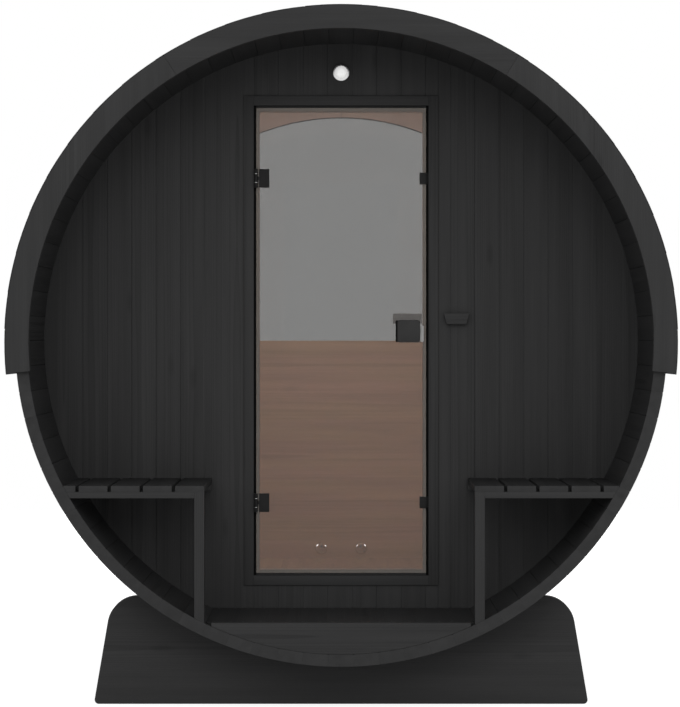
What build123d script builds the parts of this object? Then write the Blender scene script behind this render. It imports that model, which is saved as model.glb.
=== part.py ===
"""Barrel sauna: a round cabin of staves with a porch, a glass door and a half-moon rear window.

Millimetres, +Z up, the barrel's axis along Y with the porch at -Y. The origin is on the ground under
the middle of the barrel. Heights named in a sketch are measured from the barrel's axis.
"""

import math
import os

from build123d import *

# Barrel of staves
barrel_radius = 1130
barrel_length = 2400
stave_thickness = 42
segment_count = 6
staves_per_segment = 13
stave_notch = 2.6
ground_clearance = 170
seat_clearance = 0.3

# Front and rear walls, let into grooves in the staves
porch_depth = 444
rear_recess = 58
wall_thickness = 42
groove_depth = 10
board_pitch = 89.85
board_offset = 40.3
board_notch = 4.2

# Steel hoops, each with a tensioner gap at the joint beside its lowest run of staves
hoop_thickness = 1.5
hoop_width = 30
hoop_inset = 340
tensioner_gap = 26
lug_height = 26
lug_thickness = 5

# Roof over the upper half: curved boards, a thin cover, and a fascia at each end
roof_board_thickness = 28
cover_thickness = 4
cover_clearance = 0.6
eave_angle = 5.6
fascia_width = 80
fascia_thickness = 25
fascia_joint = 1.2

# Cradles
cradle_inset = 250
cradle_thickness = 56
cradle_rise = 214
cradle_foot_half = 885
cradle_top_half = 820
cradle_shoulder = 105
cradle_corner = 15

# Floors
floor_rise = 109
floor_board_thickness = 21
floor_board_width = 102
floor_board_gap = 2
floor_boards = 9
bearer_thickness = 34

# Porch benches, both a little left of the middle
bench_height = 475.4
bench_edge = 469.3
bench_shift = 5.5
slat_thickness = 21
first_slat = 100.3
slat_pitch = 111.4
slat_gap = 12
slot_count = 4
rail_height = 21.5
post_width = 34
bench_frame_depth = 34
front_board_gap = 19

# Door frame and glass door
door_sill_height = 83
header_height = 191
frame_width = 712
frame_face = 36
frame_proud = 6
frame_inside_proud = 12
frame_lap = 20
glass_gap = 9
glass_thickness = 8
glass_setback = 1
stop_gap = 5

# Door hinges
hinge_inset = 257.5
hinge_height = 68
knuckle_radius = 8
knuckle_height = 17.4
knuckle_standoff = 0.5
knuckle_sides = 12
pin_radius = 3.5
pin_clearance = 0.1
knuckle_gap = 1.5
leaf_width = 40
leaf_thickness = 6
leg_thickness = 3

# Door handle and catches
handle_inset = 64.5
handle_rise = 34
handle_width = 83
handle_tall = 82
handle_thickness = 26
handle_corner = 10
handle_stem = 10
stem_radius = 14
stem_sides = 16
inner_plate_inset = 15
inner_plate_size = 106
inner_plate_thickness = 4
inner_plate_leg = 91
grip_tall = 38
grip_depth = 30
grip_inset = 6
catch_width = 32
catch_tall = 42
catch_plate = 3
catch_depth = 24

# Lamp, wall block and the two domed caps on the rear wall
lamp_drop = 107
lamp_base_radius = 30
lamp_base_depth = 10
lamp_glass_radius = 25.5
lamp_flutes = 16
lamp_glass_depth = 30
lamp_chamfer = 13
block_gap = 19
block_rise = 45.5
block_top_width = 94
block_foot_width = 72
block_tall = 40
block_depth = 24
cap_spacing = 180
cap_rise = 45
cap_radius = 27
cap_depth = 18
cap_chamfer = 11
cap_sides = 24

# Half-moon window
arch_width = 83
arch_sides = 80
window_glass = 8
window_lap = 8

# Levels and planes that follow from the sizes above
axis_height = barrel_radius + ground_clearance
stave_count = segment_count * staves_per_segment
stave_angle = 360 / stave_count
segment_angle = 360 / segment_count
first_joint = -90 - segment_angle / 2
cradle_height = ground_clearance + cradle_rise
inner_radius = barrel_radius - stave_thickness
stave_corner = inner_radius / math.cos(math.radians(stave_angle / 2))
seat_radius = inner_radius - seat_clearance
front = -barrel_length / 2
rear = barrel_length / 2
wall_front = front + porch_depth
wall_back = wall_front + wall_thickness
rear_wall_back = rear - rear_recess
rear_wall_front = rear_wall_back - wall_thickness
wall_radius = inner_radius + groove_depth - seat_clearance
floor_top = floor_rise - inner_radius
floor_under = floor_top - floor_board_thickness
bench_top = floor_top + bench_height
frame_bottom = floor_top + door_sill_height
frame_top = inner_radius - header_height
frame_half = frame_width / 2
opening_half = frame_half + seat_clearance
light_half = frame_half - frame_face
frame_front = wall_front - frame_proud
frame_back = wall_back + frame_inside_proud
glass_front = frame_front + glass_setback
glass_back = glass_front + glass_thickness
stop_face = glass_back + stop_gap
glass_half = light_half - glass_gap
glass_middle = (frame_bottom + frame_top) / 2
glass_height = frame_top - frame_bottom - 2 * (frame_face + glass_gap)
hinge_offset = glass_height / 2 - hinge_inset
hinge_x = -glass_half
hinge_y = frame_front - knuckle_standoff - knuckle_radius
hoop_inner = barrel_radius + seat_clearance
hoop_outer = hoop_inner + hoop_thickness
roof_inner = hoop_outer + seat_clearance
roof_outer = roof_inner + roof_board_thickness
cover_inner = roof_outer + cover_clearance
cover_outer = roof_outer + cover_thickness
roof_sweep = 180 + 2 * eave_angle
window_radius = inner_radius - arch_width
handle_x = glass_half - handle_inset
handle_height = glass_middle + handle_rise
inner_plate_x = glass_half - inner_plate_inset - inner_plate_size / 2
inner_plate_height = handle_height + (inner_plate_size - handle_tall) / 2
lamp_height = inner_radius - lamp_drop
block_x = frame_half + block_gap + block_top_width / 2
block_height = handle_height + block_rise

os.makedirs("parts", exist_ok=True)


def across(y):
    """The plane square to the barrel at y, seen from the porch, with its origin on the barrel's axis."""
    return Plane(origin=(0, y, axis_height), x_dir=(1, 0, 0), z_dir=(0, -1, 0))


def level(height):
    """The level plane at a height from the barrel's axis."""
    return Plane.XY.offset(axis_height + height)


def write(piece, label):
    """Labels a finished piece and writes it."""
    piece.part.label = label
    export_step(piece.part, f"parts/{label}.step")


def ring_sector(inner, outer, start, sweep):
    """The face between two radii, from a start angle and over a sweep, in degrees anticlockwise."""
    with BuildSketch() as sector:
        with BuildLine():
            outside = CenterArc((0, 0), outer, start, sweep)
            inside = CenterArc((0, 0), inner, start, sweep)
            Line(outside @ 0, inside @ 0)
            Line(outside @ 1, inside @ 1)
        make_face()
    return sector.sketch


def clipped_box(x_low, x_high, low, high, radius):
    """The part of a rectangle that lies inside a circle on the barrel's axis."""
    with BuildSketch() as region:
        Circle(radius)
        with Locations(((x_low + x_high) / 2, (low + high) / 2)):
            Rectangle(x_high - x_low, high - low, mode=Mode.INTERSECT)
    return region.sketch


def v_cut(depth):
    """A square on its corner, whose inner half cuts a V of a depth."""
    with BuildSketch() as square:
        Rectangle(depth * math.sqrt(2), depth * math.sqrt(2), rotation=45)
    return square.sketch


def mirrored(side, x_one, x_two):
    """Two x positions on the left (-1) or right (1) side, the smaller first."""
    return sorted((side * x_one, side * x_two))


# Staves: runs of flat staves, with a V along each outer joint and two grooves for the walls
def stave_run(start):
    """One run of staves from the joint at an angle."""
    joint_angles = [math.radians(start + number * stave_angle) for number in range(staves_per_segment + 1)]
    corners = []
    for radius, angles in ((barrel_radius, joint_angles), (stave_corner, joint_angles[::-1])):
        corners += [(radius * math.cos(angle), radius * math.sin(angle)) for angle in angles]
    with BuildPart() as run:
        with BuildSketch(across(rear)):
            with BuildLine():
                Polyline(*corners, close=True)
            make_face()
            with PolarLocations(barrel_radius, staves_per_segment + 1, start, segment_angle, endpoint=True):
                add(v_cut(stave_notch), mode=Mode.SUBTRACT)
        extrude(amount=barrel_length)
        for groove_back in (wall_back, rear_wall_back):
            with BuildSketch(across(groove_back + seat_clearance)):
                RegularPolygon(inner_radius + groove_depth, stave_count, major_radius=False,
                               rotation=first_joint)
            extrude(amount=wall_thickness + 2 * seat_clearance, mode=Mode.SUBTRACT)
    return run


run_names = (
    "barrel_bottom", "barrel_lower_right", "barrel_upper_right",
    "barrel_top", "barrel_upper_left", "barrel_lower_left",
)
for index, name in enumerate(run_names):
    write(stave_run(first_joint + index * segment_angle), name)


# Steel hoops bent round the staves, each open under the barrel between two folded lugs
with BuildPart() as hoops:
    for hoop_middle in (front + hoop_inset, 0, rear - hoop_inset):
        with BuildSketch(across(hoop_middle + hoop_width / 2)):
            RegularPolygon(hoop_outer, stave_count, rotation=first_joint)
            with PolarLocations(hoop_inner, 1, first_joint + segment_angle):
                with Locations((0, tensioner_gap / 2), (0, -tensioner_gap / 2)):
                    Rectangle(lug_height, lug_thickness, align=(Align.MIN, Align.CENTER))
                Rectangle(lug_height, tensioner_gap - lug_thickness, align=(Align.CENTER, Align.CENTER),
                          mode=Mode.SUBTRACT)
            RegularPolygon(hoop_inner, stave_count, rotation=first_joint, mode=Mode.SUBTRACT)
        extrude(amount=hoop_width)
write(hoops, "hoops")


# Roof boards, left and right of the ridge
def roof_half(start):
    """Half of the curved roof boarding, from a start angle."""
    with BuildPart() as boards:
        with BuildSketch(across(rear)):
            add(ring_sector(roof_inner, roof_outer, start, roof_sweep / 2))
        extrude(amount=barrel_length)
    return boards


write(roof_half(90), "roof_boards_left")
write(roof_half(-eave_angle), "roof_boards_right")

# Roof cover: a thin skin over boards and fascias, turned under the eaves
cover_turn = math.degrees(cover_thickness / roof_outer)
with BuildPart() as roof_cover:
    with BuildSketch(across(rear + fascia_thickness)):
        add(ring_sector(cover_inner, cover_outer, -eave_angle - cover_turn, roof_sweep + 2 * cover_turn))
        for turn_start in (-eave_angle - cover_turn, 180 + eave_angle):
            add(ring_sector(barrel_radius + seat_clearance, cover_outer, turn_start, cover_turn))
    extrude(amount=barrel_length + 2 * fascia_thickness)
    with BuildSketch(across(rear)) as hoop_room:
        Circle(roof_inner)
    extrude(amount=barrel_length, mode=Mode.SUBTRACT)
write(roof_cover, "roof_cover")


# Fascias: three curved boards on each end of the staves
def fascia(back, start):
    """One curved fascia board, whose rear face is at back."""
    joint_angle = math.degrees(fascia_joint / roof_outer)
    with BuildPart() as board:
        with BuildSketch(across(back)):
            add(ring_sector(roof_outer - fascia_width, roof_outer, start + joint_angle / 2,
                            roof_sweep / 3 - joint_angle))
        extrude(amount=fascia_thickness)
    return board


for end_name, fascia_back in (("front", front), ("rear", rear + fascia_thickness)):
    for index, place in enumerate(("right", "top", "left")):
        write(fascia(fascia_back, -eave_angle + index * roof_sweep / 3), f"{end_name}_fascia_{place}")


# Cradles: shaped boards on edge, with rounded shoulders and a seat for the barrel
def cradle(back):
    """One cradle board, whose rear face is at back."""
    with BuildPart() as board:
        with BuildSketch(across(back)) as outline:
            with BuildLine():
                Polyline(
                    (-cradle_foot_half, -axis_height),
                    (cradle_foot_half, -axis_height),
                    (cradle_top_half, cradle_height - axis_height),
                    (-cradle_top_half, cradle_height - axis_height),
                    close=True,
                )
            make_face()
            fillet(outline.vertices().group_by(Axis.Y)[-1], cradle_shoulder)
            fillet(outline.vertices().group_by(Axis.Y)[0], cradle_corner)
            Circle(barrel_radius + seat_clearance, mode=Mode.SUBTRACT)
        extrude(amount=cradle_thickness)
    return board


write(cradle(front + cradle_inset + cradle_thickness), "cradle_front")
write(cradle(rear - cradle_inset), "cradle_rear")


# Front wall: upright boards, split beside, over and under the doorway
def front_wall_panel(x_low, x_high, low, high):
    """The boards of the front wall inside a rectangle, with a V along each joint on the porch side."""
    first = math.ceil((x_low - board_offset) / board_pitch)
    last = math.floor((x_high - board_offset) / board_pitch)
    joints = [board_offset + number * board_pitch for number in range(first, last + 1)]
    with BuildPart() as panel:
        with BuildSketch(across(wall_back)):
            add(clipped_box(x_low, x_high, low, high, wall_radius))
        extrude(amount=wall_thickness)
        with BuildSketch(level(-wall_radius)):
            with Locations(*[(x, wall_front) for x in joints]):
                add(v_cut(board_notch))
        extrude(amount=2 * wall_radius, mode=Mode.SUBTRACT)
    return panel


write(front_wall_panel(-wall_radius, -opening_half, -wall_radius, wall_radius), "front_wall_left")
write(front_wall_panel(opening_half, wall_radius, -wall_radius, wall_radius), "front_wall_right")
write(front_wall_panel(-opening_half, opening_half, frame_top + seat_clearance, wall_radius),
      "front_wall_over_door")
write(front_wall_panel(-opening_half, opening_half, -wall_radius, frame_bottom), "front_wall_under_door")


# Door frame: rebated jambs with a head and a sill between them
def jamb(side):
    """The full-height jamb on the left (-1) or right (1)."""
    with BuildPart() as post:
        with BuildSketch(level(frame_bottom)):
            for edge, y_low, y_high in (
                (light_half, frame_front, stop_face),
                (light_half - frame_lap, stop_face, frame_back),
            ):
                low, high = mirrored(side, edge, frame_half)
                with Locations(((low + high) / 2, (y_low + y_high) / 2)):
                    Rectangle(high - low, y_high - y_low)
        extrude(amount=frame_top - frame_bottom)
    return post


def cross_rail(edge, inward):
    """The head or sill whose outer edge is at a height, inward being 1 for up and -1 for down."""
    with BuildPart() as rail:
        for back, y_low, lap in ((stop_face, frame_front, 0), (frame_back, stop_face, frame_lap)):
            with BuildSketch(across(back)):
                with Locations((0, edge + inward * (frame_face + lap) / 2)):
                    Rectangle(2 * (light_half - lap), frame_face + lap)
            extrude(amount=back - y_low)
    return rail


write(jamb(-1), "door_jamb_left")
write(jamb(1), "door_jamb_right")
write(cross_rail(frame_top, -1), "door_head")
write(cross_rail(frame_bottom, 1), "door_sill")


# Glass door
with BuildPart() as door_glass:
    with BuildSketch(across(glass_back)):
        with Locations((0, glass_middle)):
            Rectangle(2 * glass_half, glass_height)
    extrude(amount=glass_thickness)
    chamfer(door_glass.edges().filter_by(GeomType.LINE).group_by(Axis.Y)[0], 1)
write(door_glass, "door_glass")

# Door hinges: a knuckle and a leaf in front of the glass, with a clamp plate behind it
door_knuckle = hinge_height - 2 * (knuckle_height + knuckle_gap)
leaf_start = hinge_x + knuckle_radius + 1
leaf_front = glass_front - leaf_thickness
clamp_start = -light_half + frame_lap + glass_gap
with BuildPart() as door_hinges:
    for middle in (glass_middle - hinge_offset, glass_middle + hinge_offset):
        with BuildSketch(across(glass_front)):
            with Locations((leaf_start + leaf_width / 2, middle)):
                Rectangle(leaf_width, hinge_height)
        extrude(amount=leaf_thickness)
        with BuildSketch(across(glass_back + leaf_thickness)):
            with Locations(((clamp_start + leaf_start + leaf_width) / 2, middle)):
                Rectangle(leaf_start + leaf_width - clamp_start, hinge_height)
        extrude(amount=leaf_thickness)
        with BuildSketch(level(middle - door_knuckle / 2)):
            with Locations((hinge_x, hinge_y)):
                RegularPolygon(knuckle_radius, knuckle_sides)
            with Locations((hinge_x, hinge_y)):
                Rectangle(leaf_start + 2 - hinge_x, glass_front - hinge_y - 1, align=(Align.MIN, Align.MIN))
            with Locations((hinge_x, hinge_y)):
                RegularPolygon(pin_radius + pin_clearance, knuckle_sides, major_radius=False,
                               mode=Mode.SUBTRACT)
        extrude(amount=door_knuckle)
write(door_hinges, "door_hinges")

# Frame hinges: two knuckles with their pin, on a leg screwed to the jamb
with BuildPart() as frame_hinges:
    for middle in (glass_middle - hinge_offset, glass_middle + hinge_offset):
        low = middle - hinge_height / 2
        with BuildSketch(level(low)):
            with Locations((-light_half, hinge_y + knuckle_radius + 1)):
                Rectangle(leg_thickness, stop_face - hinge_y - knuckle_radius - 1,
                          align=(Align.MIN, Align.MIN))
        extrude(amount=hinge_height)
        with BuildSketch(level(low)):
            with Locations((hinge_x, hinge_y)):
                RegularPolygon(pin_radius, knuckle_sides)
        extrude(amount=hinge_height)
        for start in (low, low + hinge_height - knuckle_height):
            with BuildSketch(level(start)):
                with Locations((hinge_x, hinge_y)):
                    RegularPolygon(knuckle_radius, knuckle_sides)
                with Locations((-light_half, hinge_y)):
                    Rectangle(leg_thickness, stop_face - hinge_y, align=(Align.MIN, Align.MIN))
            extrude(amount=knuckle_height)
write(frame_hinges, "frame_hinges")

# Outer handle: a rounded square block on a short stem
with BuildPart() as door_handle:
    with BuildSketch(across(glass_front)):
        with Locations((handle_x, handle_height)):
            RegularPolygon(stem_radius, stem_sides)
    extrude(amount=handle_stem)
    with BuildSketch(across(glass_front - handle_stem)):
        with Locations((handle_x, handle_height)):
            RectangleRounded(handle_width, handle_tall, handle_corner)
    extrude(amount=handle_thickness)
write(door_handle, "door_handle")

# Inner handle: a steel plate behind the glass with a wooden grip along its top
plate_back = glass_back + inner_plate_thickness
plate_right = inner_plate_x + inner_plate_size / 2
plate_top = inner_plate_height + inner_plate_size / 2
with BuildPart() as handle_plate:
    with BuildSketch(across(plate_back)):
        with Locations((plate_right, plate_top)):
            Rectangle(inner_plate_size, grip_tall, align=(Align.MAX, Align.MAX))
            Rectangle(inner_plate_leg, inner_plate_size, align=(Align.MAX, Align.MAX))
    extrude(amount=inner_plate_thickness)
write(handle_plate, "handle_plate")

with BuildPart() as handle_grip:
    with BuildSketch(across(plate_back + grip_depth)):
        grip_height = inner_plate_height + (inner_plate_size - grip_tall) / 2
        with Locations((inner_plate_x - grip_inset, grip_height)):
            Rectangle(inner_plate_size - 2 * grip_inset, grip_tall)
    extrude(amount=grip_depth)
    fillet(handle_grip.faces().sort_by(Axis.Y)[-1].edges(), 6)
write(handle_grip, "handle_grip")

# Magnetic catches on the right jamb, level with the hinges
catch_edge = light_half - catch_width
with BuildPart() as door_catches:
    for middle in (glass_middle - hinge_offset, glass_middle + hinge_offset):
        with BuildSketch(across(stop_face)):
            with Locations((light_half - catch_width / 2, middle)):
                Rectangle(catch_width, catch_tall)
        extrude(amount=catch_plate)
        with BuildSketch(across(stop_face + catch_depth)):
            with Locations(((catch_edge + light_half - frame_lap) / 2, middle)):
                Rectangle(catch_width - frame_lap, catch_tall)
        extrude(amount=catch_depth)
write(door_catches, "door_catches")

# Porch lamp: a round base with a fluted glass dome
with BuildPart() as lamp_base:
    with BuildSketch(across(wall_front)):
        with Locations((0, lamp_height)):
            RegularPolygon(lamp_base_radius, 2 * lamp_flutes)
    extrude(amount=lamp_base_depth)
write(lamp_base, "lamp_base")

with BuildPart() as lamp_glass:
    with BuildSketch(across(wall_front - lamp_base_depth)):
        with Locations((0, lamp_height)):
            RegularPolygon(lamp_glass_radius, lamp_flutes)
    extrude(amount=lamp_glass_depth)
    chamfer(lamp_glass.faces().sort_by(Axis.Y)[0].edges(), lamp_chamfer)
write(lamp_glass, "lamp_glass")

# Wall block beside the door, wider at its top than at its foot
block_side_angle = math.degrees(math.atan2(block_tall, (block_top_width - block_foot_width) / 2))
with BuildPart() as wall_block:
    with BuildSketch(across(wall_front)):
        with Locations((block_x, block_height)):
            Trapezoid(block_top_width, block_tall, block_side_angle, rotation=180)
    extrude(amount=block_depth)
    chamfer(wall_block.faces().sort_by(Axis.Y)[0].edges(), 5)
write(wall_block, "wall_block")


# Floors: boards along the barrel, on bearers shaped to the staves
def floor(y_low, y_high):
    """Floor boards between two y positions, their outer edges cut to the barrel."""
    with BuildPart() as boards:
        with BuildSketch(across(y_high)):
            pitch = floor_board_width + floor_board_gap
            for number in range(floor_boards):
                middle = (number - (floor_boards - 1) / 2) * pitch
                add(clipped_box(middle - floor_board_width / 2, middle + floor_board_width / 2,
                                floor_under, floor_top, seat_radius))
        extrude(amount=y_high - y_low)
    return boards


front_board_back = front + bearer_thickness
write(floor(front_board_back, wall_front), "porch_floor")
write(floor(wall_back, rear_wall_front), "cabin_floor")

with BuildPart() as porch_front_board:
    with BuildSketch(across(front_board_back)):
        add(clipped_box(front_board_gap - bench_edge, bench_edge - front_board_gap,
                        -inner_radius, floor_top, seat_radius))
    extrude(amount=bearer_thickness)
write(porch_front_board, "porch_front_board")

cabin_middle = (wall_back + rear_wall_front) / 2
with BuildPart() as floor_bearers:
    for bearer_back in (
        front_board_back + bearer_thickness,
        wall_front,
        wall_back + bearer_thickness,
        cabin_middle + bearer_thickness / 2,
        rear_wall_front,
    ):
        with BuildSketch(across(bearer_back)):
            add(clipped_box(-bench_edge, bench_edge, -inner_radius, floor_under, seat_radius))
        extrude(amount=bearer_thickness)
write(floor_bearers, "floor_bearers")


# Porch benches: slats along the barrel on a front frame with a post, and on a ledger at the wall
def bench_slats(side):
    """The seat slats on the left (-1) or right (1), the outer one cut to the barrel."""
    edge = bench_edge - side * bench_shift
    low, high = mirrored(side, edge, inner_radius)
    with BuildPart() as slats:
        with BuildSketch(across(wall_front)):
            add(clipped_box(low, high, bench_top - slat_thickness, bench_top, seat_radius))
            for number in range(slot_count):
                slot = edge + first_slat + slat_gap / 2 + number * slat_pitch
                with Locations((side * slot, bench_top - slat_thickness / 2)):
                    Rectangle(slat_gap, 2 * slat_thickness, mode=Mode.SUBTRACT)
        extrude(amount=porch_depth)
    return slats


def bench_frame(side):
    """The front rail with its post, and the ledger along the wall, on the left (-1) or right (1)."""
    rail_top = bench_top - slat_thickness
    edge = bench_edge - side * bench_shift
    low, high = mirrored(side, edge, inner_radius)
    post_low, post_high = mirrored(side, edge, edge + post_width)
    with BuildPart() as frame:
        with BuildSketch(across(front + bench_frame_depth)):
            add(clipped_box(low, high, rail_top - rail_height, rail_top, seat_radius))
            add(clipped_box(post_low, post_high, -inner_radius, rail_top, seat_radius))
        extrude(amount=bench_frame_depth)
        with BuildSketch(across(wall_front)):
            add(clipped_box(low, high, rail_top - rail_height, rail_top, seat_radius))
        extrude(amount=bench_frame_depth)
    return frame


for side, side_name in ((-1, "left"), (1, "right")):
    write(bench_slats(side), f"bench_slats_{side_name}")
    write(bench_frame(side), f"bench_frame_{side_name}")


# Rear wall: level boards below the axis, an arch over a half-moon of glass
def half_moon(radius, low):
    """The half-moon of a radius, cut off level at a height."""
    with BuildSketch() as moon:
        RegularPolygon(radius, arch_sides)
        with Locations((0, low)):
            Rectangle(2 * radius, radius - low, align=(Align.CENTER, Align.MIN), mode=Mode.INTERSECT)
    return moon.sketch


window_back = (rear_wall_front + rear_wall_back + window_glass) / 2
window_seat = half_moon(window_radius + window_lap + seat_clearance, -window_lap - seat_clearance)

with BuildPart() as rear_wall:
    with BuildSketch(across(rear_wall_back)):
        add(clipped_box(-wall_radius, wall_radius, -wall_radius, 0, wall_radius))
    extrude(amount=wall_thickness)
    with BuildSketch(Plane.YZ.offset(-wall_radius)):
        joint_count = math.floor(wall_radius / board_pitch)
        with Locations(*[(rear_wall_back, axis_height - number * board_pitch)
                         for number in range(1, joint_count + 1)]):
            add(v_cut(board_notch))
    extrude(amount=2 * wall_radius, mode=Mode.SUBTRACT)
    with BuildSketch(across(window_back + seat_clearance)):
        add(window_seat)
    extrude(amount=window_glass + 2 * seat_clearance, mode=Mode.SUBTRACT)
write(rear_wall, "rear_wall")

for arch_edge, arch_name in ((Align.MIN, "rear_arch_right"), (Align.MAX, "rear_arch_left")):
    with BuildPart() as rear_arch:
        with BuildSketch(across(rear_wall_back)):
            RegularPolygon(wall_radius, arch_sides)
            RegularPolygon(window_radius, arch_sides, mode=Mode.SUBTRACT)
            Rectangle(wall_radius, wall_radius, align=(arch_edge, Align.MIN), mode=Mode.INTERSECT)
        extrude(amount=wall_thickness)
        with BuildSketch(across(window_back + seat_clearance)):
            add(window_seat)
        extrude(amount=window_glass + 2 * seat_clearance, mode=Mode.SUBTRACT)
    write(rear_arch, arch_name)

with BuildPart() as rear_window:
    with BuildSketch(across(window_back)):
        add(half_moon(window_radius + window_lap, -window_lap))
    extrude(amount=window_glass)
write(rear_window, "rear_window")

# Domed caps low on the inside of the rear wall
with BuildPart() as wall_caps:
    with BuildSketch(across(rear_wall_front)):
        with Locations(*[(cap_x, floor_top + cap_rise) for cap_x in (-cap_spacing / 2, cap_spacing / 2)]):
            RegularPolygon(cap_radius, cap_sides)
    extrude(amount=cap_depth)
    chamfer(wall_caps.faces().filter_by(Axis.Y).group_by(Axis.Y)[0].edges(), cap_chamfer)
write(wall_caps, "wall_caps")
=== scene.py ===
"""Looks of the barrel sauna: staves, boards, shingles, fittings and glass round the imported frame.

Metres, +Z up, the barrel's axis along Y with the porch at -Y. Outlines of pieces that lie square to
the barrel are drawn as (x, z) with z measured from the barrel's axis.
"""

import random
from math import atan2, ceil, cos, degrees, floor, hypot, pi, radians, sin, sqrt, tan

import bmesh
import bpy
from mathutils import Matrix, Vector


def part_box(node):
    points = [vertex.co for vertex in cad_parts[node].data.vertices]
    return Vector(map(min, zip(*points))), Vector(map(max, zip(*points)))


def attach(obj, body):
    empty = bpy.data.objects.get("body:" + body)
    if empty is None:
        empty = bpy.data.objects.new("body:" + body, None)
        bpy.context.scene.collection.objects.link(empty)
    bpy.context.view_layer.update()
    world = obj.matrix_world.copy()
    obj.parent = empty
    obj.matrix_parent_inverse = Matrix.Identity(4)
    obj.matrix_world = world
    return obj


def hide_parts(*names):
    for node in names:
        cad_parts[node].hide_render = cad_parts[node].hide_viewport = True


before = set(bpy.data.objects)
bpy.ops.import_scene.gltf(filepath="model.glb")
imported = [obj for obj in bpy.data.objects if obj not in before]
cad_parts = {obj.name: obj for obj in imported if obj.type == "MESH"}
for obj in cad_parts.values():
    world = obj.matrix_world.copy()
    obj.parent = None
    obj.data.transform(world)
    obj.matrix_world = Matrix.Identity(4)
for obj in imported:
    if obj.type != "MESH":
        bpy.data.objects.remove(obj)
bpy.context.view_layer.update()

# Barrel, as in the frame
axis_height = 1.300
barrel_radius = 1.130
inner_radius = 1.088
groove_radius = 1.098
seat_radius = 1.0877
wall_radius = 1.0977
run_count = 6
staves_per_run = 13
roof_outer = 1.1601
cover_outer = 1.1641
eave_angle = 5.6
fascia_width = 0.080
bearer_width = 0.034

# Boards of the walls, and how far edges are rounded
board_pitch = 0.08985
board_offset = 0.0403
wall_joint = 0.0042
joint_depth = 0.0020
board_edge = 0.0022
broken_edge = 0.0003
back_edge = 0.0008

# Seeds that pick the grain and tone of each kind of board
cradle_seed, fascia_seed, wall_seed, rear_wall_seed, arch_seed = 800, 828, 7645, 6687, 640
casing_seed, floor_seed, edge_board_seed, slat_seed, rail_seed = 60, 300, 437, 500, 550
grip_seed, block_seed, cover_seed = 33, 44, 11

# The record's slot of most boards
stained = "black_stained_timber"

# Neighbouring faces that meet at less than this angle shade as one surface
sharp_angle = radians(32)

front_y, rear_y = (corner.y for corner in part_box("barrel_bottom"))
wall_front, wall_back = (corner.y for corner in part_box("front_wall_left"))
rear_wall_front, rear_wall_back = (corner.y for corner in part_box("rear_wall"))
fascia_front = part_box("front_fascia_top")[0].y
fascia_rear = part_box("rear_fascia_top")[1].y
frame_low, frame_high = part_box("door_jamb_left")[0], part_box("door_jamb_right")[1]
pane_low, pane_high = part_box("door_glass")
seal_thickness = 0.005
stop_face = pane_high.y + seal_thickness
scene = bpy.context.scene


def place(u, v, w, axis):
    """The point at (u, v) on the plane square to the y or z axis, at w along that axis."""
    return (u, w, v) if axis == "y" else (u, v, w)


def linked(name, data):
    """A new object in the scene."""
    made = bpy.data.objects.new(name, data)
    scene.collection.objects.link(made)
    return made


def arc(radius, start, end, centre=(0.0, 0.0), step=1.5):
    """Points along an arc, from a start angle to an end angle, in degrees."""
    count = max(2, ceil(abs(end - start) / step))
    angles = [radians(start + (end - start) * i / count) for i in range(count + 1)]
    return [(centre[0] + radius * cos(a), centre[1] + radius * sin(a)) for a in angles]


def ring_sector(inner, outer, start, sweep):
    """The outline between two radii over a sweep."""
    return arc(outer, start, start + sweep) + arc(inner, start + sweep, start)


def clipped_box(x_low, x_high, low, high, radius):
    """The outline of the part of a rectangle that lies inside a circle on the axis."""
    outline = arc(radius, 0, 359, step=1)
    for normal, limit in (((1, 0), x_high), ((-1, 0), -x_low), ((0, 1), high), ((0, -1), -low)):
        kept = []
        for i, point in enumerate(outline):
            before = outline[i - 1]
            inside = limit - point[0] * normal[0] - point[1] * normal[1]
            inside_before = limit - before[0] * normal[0] - before[1] * normal[1]
            if inside * inside_before < 0:
                share = inside_before / (inside_before - inside)
                kept.append(tuple(b + (p - b) * share for b, p in zip(before, point)))
            if inside >= 0:
                kept.append(point)
        outline = kept
    return outline


def rounded_polygon(corners, radii, step=12):
    """An outline whose corners are rounded, each by its own radius."""
    outline = []
    for i, corner in enumerate(corners):
        if not radii[i]:
            outline.append(corner)
            continue
        here = Vector(corner)
        into = (Vector(corners[i - 1]) - here).normalized()
        out = (Vector(corners[(i + 1) % len(corners)]) - here).normalized()
        half = into.angle(out) / 2
        centre = here + (into + out).normalized() * radii[i] / sin(half)
        start = here + into * radii[i] / tan(half) - centre
        end = here + out * radii[i] / tan(half) - centre
        first = degrees(atan2(start.y, start.x))
        turn = (degrees(atan2(end.y, end.x)) - first + 180) % 360 - 180
        outline += arc(radii[i], first, first + turn, centre, step)
    return outline


def prism(outline, low, high, axis="y", edge=board_edge, segments=2):
    """An outline pulled along an axis. Its edges are rounded, by edge or by one value for each end."""
    solid = bmesh.new()
    near = [solid.verts.new(place(u, v, low, axis)) for u, v in outline]
    far = [solid.verts.new(place(u, v, high, axis)) for u, v in outline]
    near_face = solid.faces.new(near)
    far_face = solid.faces.new(far[::-1])
    for i in range(len(outline)):
        j = (i + 1) % len(outline)
        solid.faces.new((near[i], far[i], far[j], near[j]))
    bmesh.ops.recalc_face_normals(solid, faces=solid.faces)
    if isinstance(edge, tuple):
        rounded = [(list(near_face.edges), edge[0]), (list(far_face.edges), edge[1])]
    else:
        rounded = [([e for e in solid.edges if e.calc_face_angle(0) > sharp_angle], edge)]
    for edges, width in rounded:
        if width:
            bmesh.ops.bevel(solid, geom=[e for e in edges if e.is_valid], offset=width, segments=segments,
                            profile=0.5, affect="EDGES", clamp_overlap=True)
    return solid


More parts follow.
